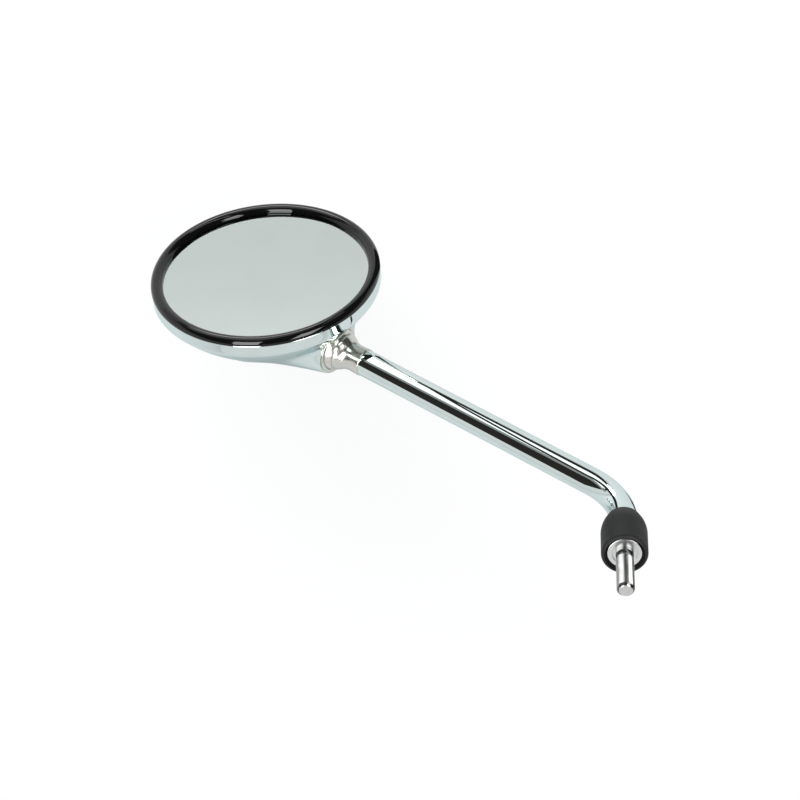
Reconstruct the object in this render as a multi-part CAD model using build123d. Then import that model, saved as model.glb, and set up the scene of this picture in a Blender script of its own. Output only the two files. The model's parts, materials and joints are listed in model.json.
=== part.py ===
from build123d import *
from math import acos, cos, degrees, radians, sin, sqrt, tan
import os

# Round handlebar mirror on a bent stem, in millimetres and degrees.
# Origin: centre of the steel seat face at the foot of the stem. +Z runs up the stud's axis.
# The stem leans towards -X and the glass looks towards -Y.

# Stem
stem_diameter = 12.7
stem_wall = 1.2
bend_radius = 32.0
stem_lean = 56.3  # from the stud's axis
corner_height = 41.6  # seat face to the corner of the stem's two straight axes
corner_to_ball = 165.6  # that corner to the centre of the ball

# Foot of the stem
flange_diameter = 15.3
flange_thickness = 3.0
plug_depth = 16.0
face_recess_diameter = 11.0
face_recess_depth = 0.4
fit_clearance = 0.05  # radial, between pieces that are pressed or screwed together

# Mounting stud
stud_diameter = 8.0
stud_length = 26.2  # below the seat face
stud_hold = 12.0  # length held in the foot
stud_hold_diameter = 7.2
stud_shoulder_length = 1.6
stud_neck_diameter = 6.6
stud_neck_length = 3.0
stud_tip_chamfer = 1.2

# Rubber boot
boot_wall = 2.55  # round the foot's flange
boot_length = 25.4
boot_overhang = 1.2  # rim below the seat face
boot_top_wall = 1.25  # round the stem
boot_taper_length = 6.5
boot_shoulder_round = 20.0
boot_rim_round = 1.4
boot_rim_flat = 0.3
boot_mouth_bevel = 0.8
boot_clearance = 0.1

# Ball joint, measured from the centre of the ball. Angles start at the stem's axis.
ball_radius = 11.3
ball_front_angle = 55.0
ball_rear_angle = 145.0
ball_clearance = 0.05
journal_diameter = 9.0
journal_clearance = 0.04
ball_end_play = 0.06
screw_diameter = 5.0
screw_length = 10.0
screw_head_diameter = 9.6
screw_head_height = 2.4
screw_head_sink = 0.7  # head below the ball's rear face
screw_head_clearance = 0.3
screw_socket_width = 3.0
screw_socket_depth = 1.4

# Bell-shaped neck
neck_shoulder_radius = 9.2
neck_waist_radius = 7.5
neck_waist_length = 3.6  # shoulder to waist
neck_end_radius = 6.75
neck_length = 13.4
neck_end_round = 0.5
neck_spigot_length = 18.0

# Socket in the spout: gland ring in front of the ball, cup, washer and spring behind it
mouth_angle = 71.0
gland_wall = 0.6  # round the ball
gland_flange_width = 0.5
gland_flange_thickness = 0.8
gland_depth = 2.4  # behind the centre of the ball
cup_wall = 1.0
cup_front_angle = 125.0
cup_rear_angle = 152.0
cup_room = 6.8  # wide part of the socket, behind the centre of the ball
washer_front_angle = 128.0
washer_rim = 0.8  # outside the dish
washer_back = 0.6  # behind the dish
spring_thickness = 0.7
spring_height = 1.8
spring_hole_diameter = 11.0
socket_wall = 1.6
socket_floor = 2.0

# Head
head_diameter = 110.0
socket_rake = 5.8  # between the stem's axis and the glass
head_roll = 12.3  # glass turned down about the stem's axis
ball_setback = 15.2  # centre of the ball inside the head's edge
ball_standoff = 3.33  # centre of the ball outside the dome
axis_offset = 2.2  # stem's axis beside the head's centre

# Bezel
bezel_width = 5.8
bezel_seat = 0.3  # shell's edge below the middle of the bezel
bezel_skirt_wall = 1.2
bezel_clearance = 0.1
snap_bead = 0.4
snap_bead_drop = 1.8  # below the shell's edge

# Glass and gasket
glass_thickness = 2.5
glass_curve_radius = 1200.0
glass_drop = 0.6  # edge of the glass below the middle of the bezel
glass_lap = 2.2  # glass hidden under the bezel
glass_clearance = 0.05
gasket_thickness = 1.5
gasket_width = 2.2

# Shell
shell_wall = 2.2
lip_height = 5.8
lip_round = 2.5  # between the lip and the dome
dome_depth = 28.4  # below the lip
spout_mouth_wall = 1.15  # outside the gland ring
spout_root_tilt = 33.0  # between the root and the glass
spout_root_depth = 16.9  # of the dome below the root
spout_root_shift = 7.1  # centre of the root behind the middle of the dome there
spout_root_margin = 1.0  # rear end of the root inside the dome
spout_side_margin = 3.1  # sides of the root inside the dome
spout_blend = 12.0
mouth_relief_angle = 15.0
mouth_relief_length = 12.0

# Worked out from the sizes above
stem_radius = stem_diameter / 2
stem_bore_radius = stem_radius - stem_wall
spigot_radius = stem_bore_radius - fit_clearance
head_radius = head_diameter / 2
ball_front = ball_radius * cos(radians(ball_front_angle))
ball_rear = ball_radius * cos(radians(ball_rear_angle))
screw_seat = ball_rear + screw_head_sink + screw_head_height
neck_end = ball_front + neck_length
seat_radius = ball_radius + ball_clearance
gland_front = seat_radius * cos(radians(mouth_angle))
gland_seat = gland_front - gland_flange_thickness
gland_radius = seat_radius + gland_wall
spout_radius = gland_radius + spout_mouth_wall
cup_radius = seat_radius + cup_wall
dish_radius = cup_radius + ball_clearance
washer_radius = dish_radius * sin(radians(washer_front_angle)) + washer_rim
washer_rear = dish_radius * cos(radians(cup_rear_angle)) - washer_back
socket_rear = washer_rear - spring_height
glass_radius = head_radius - bezel_width + glass_lap
skirt_inner_radius = glass_radius + bezel_clearance
skirt_radius = skirt_inner_radius + bezel_skirt_wall
lip_bore_radius = skirt_radius + bezel_clearance
gasket_inner_radius = glass_radius - gasket_width
ledge_height = -glass_drop - glass_thickness - gasket_thickness
lip_low = -bezel_seat - lip_height
dome_low = lip_low - dome_depth
dome_curve = (head_radius**2 + dome_depth**2) / (2 * dome_depth)

# Frame of the ball joint: z runs from the ball down the stem.
stem_dir = Vector(-sin(radians(stem_lean)), 0, cos(radians(stem_lean)))
stem_side = Vector(0, -1, 0)
corner = Vector(0, 0, corner_height)
ball_center = corner + stem_dir * corner_to_ball
joint_frame = Plane(origin=ball_center, x_dir=stem_side, z_dir=-stem_dir)

# Frame of the head: z looks out of the glass, x points from the head's centre towards the stem.
stem_cross = stem_side.cross(stem_dir)
facing = stem_side * cos(radians(head_roll)) + stem_cross * sin(radians(head_roll))
glass_dir = facing * cos(radians(socket_rake)) + stem_dir * sin(radians(socket_rake))
head_x = -stem_dir - glass_dir * (-stem_dir).dot(glass_dir)
axis_in_head = Vector(cos(radians(socket_rake)), 0, -sin(radians(socket_rake)))
dome_center = Vector(0, 0, dome_low + dome_curve)
ball_reach = head_radius - ball_setback
ball_drop = sqrt((dome_curve + ball_standoff) ** 2 - ball_reach**2 - axis_offset**2)
ball_in_head = dome_center + Vector(ball_reach, -axis_offset, -ball_drop)
head_turn = Plane(origin=(0, 0, 0), x_dir=head_x, z_dir=glass_dir)
head_origin = ball_center - head_turn.from_local_coords(ball_in_head)
head_frame = Plane(origin=head_origin, x_dir=head_x, z_dir=glass_dir)
socket_frame = Plane(origin=ball_in_head, x_dir=(0, 1, 0), z_dir=axis_in_head)


def turned(outline):
    """Solid of revolution about z from lines drawn as (radius, height)."""
    return revolve(Plane.XZ * make_face(outline), Axis.Z)


def turned_from(*points):
    """Solid of revolution about z from straight lines between (radius, height) points."""
    return turned(Polyline(*points, close=True))


def ring(inner, outer, low, high):
    """Plain ring or disc about z."""
    return turned_from((inner, low), (outer, low), (outer, high), (inner, high))


def on_sphere(radius, angle):
    """Point (radius, height) on a sphere about the ball's centre."""
    return (radius * sin(radians(angle)), radius * cos(radians(angle)))


def sphere_arc(radius, start, end):
    """Arc on a sphere about the ball's centre, between two angles."""
    return ThreePointArc(*[on_sphere(radius, angle) for angle in (start, (start + end) / 2, end)])


# Stem and foot
def stem_tube():
    upper_end = ball_center - stem_dir * neck_end
    path = FilletPolyline((0, 0, flange_thickness), corner, upper_end, radius=bend_radius)
    section = Plane.XY.offset(flange_thickness) * (Circle(stem_radius) - Circle(stem_bore_radius))
    return sweep(section, path)


def base_plug():
    hole_radius = stud_hold_diameter / 2 + fit_clearance
    recess_radius = face_recess_diameter / 2
    flange_radius = flange_diameter / 2
    top = flange_thickness + plug_depth
    return turned_from(
        (recess_radius, 0),
        (flange_radius, 0),
        (flange_radius, flange_thickness),
        (spigot_radius, flange_thickness),
        (spigot_radius, top),
        (0, top),
        (0, stud_hold),
        (hole_radius, stud_hold),
        (hole_radius, face_recess_depth),
        (recess_radius, face_recess_depth),
    )


def mounting_stud():
    hold_radius = stud_hold_diameter / 2
    radius = stud_diameter / 2
    neck_radius = stud_neck_diameter / 2
    step = radius - neck_radius
    neck_top = -stud_shoulder_length
    neck_low = neck_top - stud_neck_length
    return turned_from(
        (0, stud_hold),
        (hold_radius, stud_hold),
        (hold_radius, face_recess_depth),
        (radius, face_recess_depth),
        (radius, neck_top),
        (neck_radius, neck_top - step),
        (neck_radius, neck_low + step),
        (radius, neck_low),
        (radius, stud_tip_chamfer - stud_length),
        (radius - stud_tip_chamfer, -stud_length),
        (0, -stud_length),
    )


def rubber_boot():
    rim = -boot_overhang
    top = rim + boot_length
    bore = stem_radius + boot_clearance
    pocket = flange_diameter / 2 + boot_clearance
    pocket_top = flange_thickness + boot_clearance
    outer = pocket + boot_wall
    mouth = outer - boot_rim_round - boot_rim_flat
    body = turned_from(
        (mouth, rim),
        (outer, rim),
        (outer, top - boot_taper_length),
        (bore + boot_top_wall, top),
        (bore, top),
        (bore, pocket_top),
        (pocket, pocket_top),
        (pocket, boot_mouth_bevel),
    )
    rim_edge = body.edges().group_by(Axis.Z)[0].sort_by(SortBy.RADIUS)[-1]
    body = fillet(rim_edge, boot_rim_round)
    shoulder_edge = body.faces().sort_by(SortBy.AREA)[-1].edges().sort_by(Axis.Z)[-1]
    return fillet(shoulder_edge, boot_shoulder_round)


# Ball, neck and screw
def ball_neck():
    journal = journal_diameter / 2
    screw_hole = screw_diameter / 2 + fit_clearance
    shoulder = (neck_shoulder_radius, ball_front + ball_end_play)
    waist = (neck_waist_radius, shoulder[1] + neck_waist_length)
    throat = (neck_end_radius, neck_end - neck_end_round)
    spigot_end = neck_end + neck_spigot_length
    outline = [
        Spline(shoulder, waist, throat, tangents=[(0, 1), (0, 1)]),
        Polyline(
            throat,
            (neck_end_radius - neck_end_round, neck_end),
            (spigot_radius, neck_end),
            (spigot_radius, spigot_end),
            (0, spigot_end),
            (0, screw_seat + screw_length),
            (screw_hole, screw_seat + screw_length),
            (screw_hole, screw_seat),
            (journal, screw_seat),
            (journal, shoulder[1]),
            shoulder,
        ),
    ]
    return joint_frame * turned(outline)


def ball_screw():
    head_low = screw_seat - screw_head_height
    head = ring(0, screw_head_diameter / 2, head_low, screw_seat)
    shank = ring(0, screw_diameter / 2, screw_seat, screw_seat + screw_length)
    socket = extrude(RegularPolygon(screw_socket_width / 2, 6, major_radius=False), screw_socket_depth)
    return joint_frame * (head + shank - Pos(0, 0, head_low) * socket)


def swivel_ball():
    bore = journal_diameter / 2 + journal_clearance
    pocket = screw_head_diameter / 2 + screw_head_clearance
    pocket_floor = screw_seat + ball_end_play
    outline = [
        sphere_arc(ball_radius, ball_front_angle, ball_rear_angle),
        Polyline(
            on_sphere(ball_radius, ball_rear_angle),
            (pocket, ball_rear),
            (pocket, pocket_floor),
            (bore, pocket_floor),
            (bore, ball_front),
            on_sphere(ball_radius, ball_front_angle),
        ),
    ]
    return joint_frame * turned(outline)


# Socket of the ball
def gland_ring():
    thread_radius = gland_radius - fit_clearance
    flange_radius = gland_radius + gland_flange_width
    rear_angle = degrees(acos(-gland_depth / seat_radius))
    outline = [
        sphere_arc(seat_radius, mouth_angle, rear_angle),
        Polyline(
            on_sphere(seat_radius, rear_angle),
            (thread_radius, -gland_depth),
            (thread_radius, gland_seat),
            (flange_radius, gland_seat),
            (flange_radius, gland_front),
            on_sphere(seat_radius, mouth_angle),
        ),
    ]
    return joint_frame * turned(outline)


def pressure_cup():
    outline = [
        sphere_arc(cup_radius, cup_front_angle, cup_rear_angle),
        Line(on_sphere(cup_radius, cup_rear_angle), on_sphere(seat_radius, cup_rear_angle)),
        sphere_arc(seat_radius, cup_rear_angle, cup_front_angle),
        Line(on_sphere(seat_radius, cup_front_angle), on_sphere(cup_radius, cup_front_angle)),
    ]
    return joint_frame * turned(outline)


def thrust_washer():
    front = on_sphere(dish_radius, washer_front_angle)
    rear = on_sphere(dish_radius, cup_rear_angle)
    outline = [
        sphere_arc(dish_radius, cup_rear_angle, washer_front_angle),
        Polyline(
            front,
            (washer_radius, front[1]),
            (washer_radius, washer_rear),
            (rear[0], washer_rear),
            rear,
        ),
    ]
    return joint_frame * turned(outline)


def disc_spring():
    inner = spring_hole_diameter / 2
    return joint_frame * turned_from(
        (inner, washer_rear),
        (washer_radius, socket_rear + spring_thickness),
        (washer_radius, socket_rear),
        (inner, washer_rear - spring_thickness),
    )


# Head
def dome(radius, top, inset):
    """Round part of the head with a spherical back, set in by a wall, below a height."""
    sphere = Pos(dome_center) * Sphere(dome_curve - inset)
    return (ring(0, radius, dome_low, lip_low) & sphere) + ring(0, radius, lip_low, top)


def spout(inset, top):
    """Spout that fans from the mouth into the dome, set in by a wall, below a height."""
    tilt = radians(spout_root_tilt)
    along = Vector(cos(tilt), 0, sin(tilt))
    down = Vector(sin(tilt), 0, -cos(tilt))
    root_drop = dome_curve - spout_root_depth
    cut_radius = sqrt(dome_curve**2 - root_drop**2)
    half_length = cut_radius - spout_root_shift - spout_root_margin
    half_width = sqrt(cut_radius**2 - spout_root_shift**2) - spout_side_margin
    root_center = dome_center + down * root_drop - along * spout_root_shift
    root = Plane(origin=root_center, x_dir=(0, 1, 0), z_dir=down)
    root_inset = inset / sin(tilt)
    mouth_section = socket_frame.offset(gland_seat) * Circle(spout_radius - inset)
    root_section = root * Ellipse(half_width - root_inset, half_length - root_inset)
    room = 2 * head_diameter
    under = Pos(0, 0, top) * Box(room, room, room, align=(Align.CENTER, Align.CENTER, Align.MAX))
    return loft([mouth_section, root_section]) & under


def shell_body():
    """Dome and spout, blended, before hollowing."""
    outer_dome = dome(head_radius, -bezel_seat, 0)
    outer_dome = fillet(outer_dome.edges().filter_by_position(Axis.Z, lip_low, lip_low), lip_round)
    outer_spout = spout(0, -bezel_seat)
    body = outer_dome + outer_spout
    seam = new_edges(outer_dome, outer_spout, combined=body)
    return fillet(seam.filter_by(GeomType.CIRCLE, reverse=True), spout_blend)


def socket_boss():
    """Stepped boss that holds the ball, before boring."""
    wide = gland_radius + socket_wall
    narrow = washer_radius + fit_clearance + socket_wall
    boss = ring(0, wide, -cup_room - socket_floor, gland_front)
    boss += ring(0, narrow, socket_rear - socket_floor, gland_front)
    return socket_frame * boss


def shell_bores():
    """Stepped bore for the ball and its parts, with room for the neck in front of it."""
    relief_radius = spout_radius + mouth_relief_length * tan(radians(mouth_relief_angle))
    relief_end = gland_seat + mouth_relief_length
    washer_bore = washer_radius + fit_clearance
    bore = turned_from(
        (0, socket_rear),
        (washer_bore, socket_rear),
        (washer_bore, -cup_room),
        (gland_radius, -cup_room),
        (gland_radius, gland_seat),
        (spout_radius, gland_seat),
        (relief_radius, relief_end),
        (0, relief_end),
    )
    return socket_frame * bore


def snap_bead_ring(radius):
    """Snap bead of the bezel, standing out from a radius."""
    height = -bezel_seat - snap_bead_drop
    return turned_from(
        (radius, height + snap_bead),
        (radius + snap_bead, height),
        (radius, height - snap_bead),
    )


def shell():
    boss = socket_boss()
    dome_hollow = dome(gasket_inner_radius, ledge_height, shell_wall) - boss
    spout_hollow = spout(shell_wall, lip_low) - boss
    rim_bore = ring(0, lip_bore_radius, ledge_height, 0) + snap_bead_ring(lip_bore_radius)
    return head_frame * (shell_body() - dome_hollow - spout_hollow - shell_bores() - rim_bore)


def glass_height(radius):
    """Height of the glass's convex face at a radius."""
    crown = sqrt(glass_curve_radius**2 - radius**2) - sqrt(glass_curve_radius**2 - glass_radius**2)
    return crown - glass_drop


def glass_arc(drop):
    """Half of the glass's curve, from its middle to its edge."""
    return ThreePointArc(*[(r, glass_height(r) - drop) for r in (0, glass_radius / 2, glass_radius)])


def mirror_glass():
    face = glass_arc(0)
    back = glass_arc(glass_thickness)
    return head_frame * turned([face, back, Line(face @ 0, back @ 0), Line(face @ 1, back @ 1)])


def glass_gasket():
    return head_frame * ring(
        gasket_inner_radius, glass_radius, ledge_height, ledge_height + gasket_thickness
    )


def bezel():
    inner = head_radius - bezel_width
    bead = bezel_width / 2
    under = glass_height(inner) + glass_clearance
    skirt_low = ledge_height + bezel_clearance
    outline = [
        ThreePointArc((head_radius, 0), (head_radius - bead, bead), (inner, 0)),
        Polyline(
            (inner, 0),
            (inner, under),
            (skirt_inner_radius, under),
            (skirt_inner_radius, skirt_low),
            (skirt_radius, skirt_low),
            (skirt_radius, -bezel_seat),
            (head_radius, -bezel_seat),
            (head_radius, 0),
        ),
    ]
    return head_frame * (turned(outline) + snap_bead_ring(skirt_radius))


pieces = (
    stem_tube,
    base_plug,
    mounting_stud,
    rubber_boot,
    ball_neck,
    ball_screw,
    swivel_ball,
    gland_ring,
    pressure_cup,
    thrust_washer,
    disc_spring,
    shell,
    mirror_glass,
    glass_gasket,
    bezel,
)

os.makedirs("parts", exist_ok=True)
for piece in pieces:
    export_step(piece(), f"parts/{piece.__name__}.step")
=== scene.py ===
import json
from math import acos, atan2, cos, pi, radians, sin, sqrt, tan

import bpy
import numpy as np
from mathutils import Matrix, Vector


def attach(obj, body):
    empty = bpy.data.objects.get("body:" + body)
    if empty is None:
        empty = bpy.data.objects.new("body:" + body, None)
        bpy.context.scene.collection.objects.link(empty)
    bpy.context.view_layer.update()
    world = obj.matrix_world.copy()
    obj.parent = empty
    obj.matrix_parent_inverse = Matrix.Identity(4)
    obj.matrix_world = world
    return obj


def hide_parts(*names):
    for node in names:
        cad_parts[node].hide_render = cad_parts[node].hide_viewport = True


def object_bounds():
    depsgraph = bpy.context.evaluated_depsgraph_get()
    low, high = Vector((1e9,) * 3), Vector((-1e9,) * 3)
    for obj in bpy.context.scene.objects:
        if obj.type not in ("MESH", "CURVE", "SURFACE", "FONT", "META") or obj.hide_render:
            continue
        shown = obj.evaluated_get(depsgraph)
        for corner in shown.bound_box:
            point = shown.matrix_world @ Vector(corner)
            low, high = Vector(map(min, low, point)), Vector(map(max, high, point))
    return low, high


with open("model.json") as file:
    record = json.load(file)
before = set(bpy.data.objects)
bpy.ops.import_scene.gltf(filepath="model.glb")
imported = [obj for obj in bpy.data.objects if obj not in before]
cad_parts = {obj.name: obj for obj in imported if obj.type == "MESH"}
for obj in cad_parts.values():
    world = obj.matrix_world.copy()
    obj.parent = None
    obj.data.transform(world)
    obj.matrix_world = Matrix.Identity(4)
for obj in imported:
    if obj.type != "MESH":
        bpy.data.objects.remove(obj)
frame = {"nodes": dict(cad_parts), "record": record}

cadLow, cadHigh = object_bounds()
bodies = frame["record"]["behaviour"]["bodies"]
mm = 0.001


# Frames of the stem, the ball joint and the head, in millimetres
def unit(v):
    return np.asarray(v, float) / np.linalg.norm(v)


def ease(x):  # from 0 to 1, level at both ends
    return x**2 * (3 - 2 * x)


class Place:
    def __init__(self, origin, xDir, zDir):
        self.origin = np.asarray(origin, float)
        self.z = unit(zDir)
        self.x = unit(np.asarray(xDir, float) - self.z * np.dot(xDir, self.z))
        self.y = np.cross(self.z, self.x)

    def out(self, p):  # local points to the part's frame
        return self.origin + p[..., 0:1] * self.x + p[..., 1:2] * self.y + p[..., 2:3] * self.z


pose = {"lean": radians(56.3), "corner": 41.6, "toBall": 165.6, "roll": radians(12.3), "rake": radians(5.8)}
head = {"radius": 55.0, "lipLow": -6.1, "domeDepth": 28.4, "setback": 15.2, "standoff": 3.33, "offset": 2.2}

stemDir = np.array([-sin(pose["lean"]), 0.0, cos(pose["lean"])])
stemSide = np.array([0.0, -1.0, 0.0])
ballCenter = np.array([0.0, 0.0, pose["corner"]]) + stemDir * pose["toBall"]
facing = stemSide * cos(pose["roll"]) + np.cross(stemSide, stemDir) * sin(pose["roll"])
glassDir = facing * cos(pose["rake"]) + stemDir * sin(pose["rake"])
domeLow = head["lipLow"] - head["domeDepth"]
domeCurve = (head["radius"] ** 2 + head["domeDepth"] ** 2) / (2 * head["domeDepth"])
domeCenter = np.array([0.0, 0.0, domeLow + domeCurve])
ballReach = head["radius"] - head["setback"]
ballDrop = sqrt((domeCurve + head["standoff"]) ** 2 - ballReach**2 - head["offset"] ** 2)
ballInHead = domeCenter + np.array([ballReach, -head["offset"], -ballDrop])
axisInHead = np.array([cos(pose["rake"]), 0.0, -sin(pose["rake"])])
footPlace = Place((0, 0, 0), (1, 0, 0), (0, 0, 1))
jointPlace = Place(ballCenter, stemSide, -stemDir)
headTurn = Place((0, 0, 0), -stemDir, glassDir)
headPlace = Place(ballCenter - headTurn.out(ballInHead), -stemDir, glassDir)


# Meshes
def newPiece(name, grid, startPole=None, endPole=None, loop=False, sharp=38):
    # quads between the rows of a closed grid, fans to the poles, faces turned outwards
    rows, columns = grid.shape[:2]
    row = np.arange(rows if loop else rows - 1)[:, None] * columns
    after = (row + columns) % (rows * columns)
    col = np.arange(columns)[None, :]
    turn = (col + 1) % columns
    quads = np.stack([row + col, row + turn, after + turn, after + col], -1).reshape(-1, 4)
    points = grid.reshape(-1, 3)
    faces = quads.tolist()
    ring = np.arange(columns)
    for pole, base, flip in ((startPole, 0, True), (endPole, (rows - 1) * columns, False)):
        if pole is not None:
            tip = np.full(columns, len(points))
            fan = np.stack([base + ring, base + (ring + 1) % columns, tip], -1)
            faces += (fan[:, ::-1] if flip else fan).tolist()
            points = np.vstack([points, pole])
    middle = points.mean(0)
    a, b, c = (points[quads[:, k]] - middle for k in (0, 1, 2))
    d = points[quads[:, 3]] - middle
    volume = np.sum(np.cross(a, b) * c) + np.sum(np.cross(a, c) * d)
    mesh = bpy.data.meshes.new(name)
    mesh.from_pydata((points * mm).tolist(), [], faces)
    if volume < 0:
        mesh.flip_normals()
    mesh.shade_smooth()
    mesh.set_sharp_from_angle(angle=radians(sharp))
    piece = bpy.data.objects.new(name, mesh)
    bpy.context.scene.collection.objects.link(piece)
    return piece


def rounded(points, radii, steps=7, close=False):
    # corner arc: c + start cos s - a r sin s, between its two tangent points
    out = []
    count = len(points)
    for k, (corner, radius) in enumerate(zip(points, radii)):
        corner = np.asarray(corner, float)
        if radius == 0 or (not close and k in (0, count - 1)):
            out.append(corner[None])
            continue
        a = unit(np.subtract(points[k - 1], corner))
        b = unit(np.subtract(points[(k + 1) % count], corner))
        half = acos(np.clip(a @ b, -1, 1)) / 2
        center = corner + unit(a + b) * radius / sin(half)
        start = corner + a * radius / tan(half) - center
        sweep = np.linspace(0, pi - 2 * half, steps)[:, None]
        arc = center + start * np.cos(sweep) - a * radius * np.sin(sweep)
        lead = min(0.15 * radius, 0.4)  # a short straight run on either side of an arc
        out += [arc[:1] + a * lead, arc, arc[-1:] + b * lead]
    return np.vstack(out)


def lathe(name, profile, place, columns=160, loop=False):
    # X(r, h, t) = (r cos t, r sin t, h), about the place's z
    profile = np.asarray(profile, float)
    poles = [place.out(np.array([0, 0, h])) if r == 0 else None for r, h in (profile[0], profile[-1])]
    body = profile[int(poles[0] is not None):len(profile) - int(poles[1] is not None)]
    turn = np.arange(columns) * 2 * pi / columns
    r, h = body[:, 0:1], body[:, 1:2]
    grid = np.stack([r * np.cos(turn), r * np.sin(turn), h + 0 * turn], -1)
    return newPiece(name, place.out(grid), *poles, loop)


def dress(piece, node, material):
    piece.data.materials.clear()
    piece.data.materials.append(material)
    body = next(b for b, members in bodies.items() if node in members)
    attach(piece, body)
    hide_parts(node)


# Shared effects
def newGroup(name, inputs, outputs):
    group = bpy.data.node_groups.new(name, "ShaderNodeTree")
    for label, value in inputs.items():
        socket = group.interface.new_socket(label, in_out="INPUT", socket_type="NodeSocketFloat")
        socket.default_value = value
    for label in outputs:
        group.interface.new_socket(label, in_out="OUTPUT", socket_type="NodeSocketFloat")
    return group, group.nodes.new("NodeGroupInput"), group.nodes.new("NodeGroupOutput")


def math(tree, operation, a, b=None, c=None):
    node = tree.nodes.new("ShaderNodeMath")
    node.operation = operation
    for socket, value in zip(node.inputs, (a, b, c)):
        if isinstance(value, bpy.types.NodeSocket):
            tree.links.new(value, socket)
        elif value is not None:
            socket.default_value = value
    return node.outputs[0]


def noise(tree, vector, scale, detail=3.0, roughness=0.55):
    node = tree.nodes.new("ShaderNodeTexNoise")
    tree.links.new(vector, node.inputs["Vector"])
    node.inputs["Scale"].default_value = scale
    node.inputs["Detail"].default_value = detail
    node.inputs["Roughness"].default_value = roughness
    return node.outputs["Fac"]


def mapRange(tree, value, low, high, toLow=0.0, toHigh=1.0):
    node = tree.nodes.new("ShaderNodeMapRange")
    node.interpolation_type = "SMOOTHSTEP"
    tree.links.new(value, node.inputs["Value"])
    for label, number in zip(("From Min", "From Max", "To Min", "To Max"), (low, high, toLow, toHigh)):
        node.inputs[label].default_value = number
    return node.outputs["Result"]


def platingGroup():
    # soft smears in the polish, fine hairlines and the ripple of a plated surface
    group, given, result = newGroup(
        "platingFinish", {"Smear": 0.03, "Hairlines": 0.3, "Ripple": 1.0}, ("Tone", "Roughness", "Height")
    )
    at = group.nodes.new("ShaderNodeTexCoord").outputs["Object"]
    cloud = mapRange(group, noise(group, at, scale=38.0, detail=4.0), 0.42, 0.7)
    stretch = group.nodes.new("ShaderNodeMapping")
    stretch.inputs["Scale"].default_value = (1.0, 9.0, 1.6)
    stretch.inputs["Rotation"].default_value = (0.4, 0.2, 0.7)
    group.links.new(at, stretch.inputs["Vector"])
    lines = noise(group, stretch.outputs["Vector"], scale=900.0, detail=2.0, roughness=0.7)
    hair = mapRange(group, lines, 0.66, 0.74)
    hair = math(group, "MULTIPLY", hair, given.outputs["Hairlines"])
    waves = noise(group, at, scale=160.0, detail=1.0)
    ripple = math(group, "MULTIPLY", waves, given.outputs["Ripple"])
    smear = math(group, "MULTIPLY", cloud, given.outputs["Smear"])
    group.links.new(math(group, "MULTIPLY_ADD", cloud, -0.035, 1.0), result.inputs["Tone"])
    group.links.new(math(group, "MULTIPLY_ADD", hair, 0.03, smear), result.inputs["Roughness"])
    group.links.new(math(group, "MULTIPLY_ADD", hair, -0.4, ripple), result.inputs["Height"])
    return group


def dustGroup():
    # thin dust that settles on faces that look up, broken by a cloudy pattern
    group, given, result = newGroup("dustFilm", {"Amount": 0.3}, ("Mask",))
    at = group.nodes.new("ShaderNodeTexCoord").outputs["Object"]
    normal = group.nodes.new("ShaderNodeNewGeometry").outputs["Normal"]
    split = group.nodes.new("ShaderNodeSeparateXYZ")
    group.links.new(normal, split.inputs["Vector"])
    up = mapRange(group, split.outputs["Z"], -0.2, 0.9, 0.15, 1.0)
    speck = mapRange(group, noise(group, at, scale=700.0, detail=5.0, roughness=0.75), 0.5, 0.72)
    cloud = mapRange(group, noise(group, at, scale=60.0), 0.35, 0.75, 0.2, 1.0)
    mask = math(group, "MULTIPLY", math(group, "MULTIPLY", speck, cloud), up)
    group.links.new(math(group, "MULTIPLY", mask, given.outputs["Amount"]), result.inputs["Mask"])
    return group


def grainGroup():
    # moulded or cast grain: fine pits over a slow mottle
    group, given, result = newGroup("surfaceGrain", {"Scale": 1500.0, "Mottle": 120.0}, ("Height", "Tone"))
    at = group.nodes.new("ShaderNodeTexCoord").outputs["Object"]
    fine = group.nodes.new("ShaderNodeTexVoronoi")
    group.links.new(at, fine.inputs["Vector"])
    group.links.new(given.outputs["Scale"], fine.inputs["Scale"])
    slow = group.nodes.new("ShaderNodeTexNoise")
    group.links.new(at, slow.inputs["Vector"])
    group.links.new(given.outputs["Mottle"], slow.inputs["Scale"])
    group.links.new(fine.outputs["Distance"], result.inputs["Height"])
    group.links.new(mapRange(group, slow.outputs["Fac"], 0.3, 0.7), result.inputs["Tone"])
    return group


def turnedGroup():
    # rings left by a lathe tool, by distance from the stud's axis
    group, given, result = newGroup(
        "turnedRings", {"Pitch": 0.00012}, ("Height", "Tone", "Radius", "Along")
    )
    at = group.nodes.new("ShaderNodeTexCoord").outputs["Object"]
    flat = group.nodes.new("ShaderNodeVectorMath")
    flat.operation = "MULTIPLY"
    flat.inputs[1].default_value = (1.0, 1.0, 0.0)
    group.links.new(at, flat.inputs[0])
    length = group.nodes.new("ShaderNodeVectorMath")
    length.operation = "LENGTH"
    group.links.new(flat.outputs["Vector"], length.inputs[0])
    radius = length.outputs["Value"]
    rings = group.nodes.new("ShaderNodeTexNoise")
    rings.noise_dimensions = "1D"
    group.links.new(math(group, "DIVIDE", radius, given.outputs["Pitch"]), rings.inputs["W"])
    rings.inputs["Scale"].default_value = 1.0
    rings.inputs["Detail"].default_value = 2.0
    group.links.new(rings.outputs["Fac"], result.inputs["Height"])
    group.links.new(mapRange(group, rings.outputs["Fac"], 0.3, 0.7), result.inputs["Tone"])
    group.links.new(radius, result.inputs["Radius"])
    split = group.nodes.new("ShaderNodeSeparateXYZ")
    group.links.new(at, split.inputs["Vector"])
    group.links.new(split.outputs["Z"], result.inputs["Along"])
    return group


effects = {"plating": platingGroup(), "dust": dustGroup(), "grain": grainGroup(), "turned": turnedGroup()}


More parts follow.
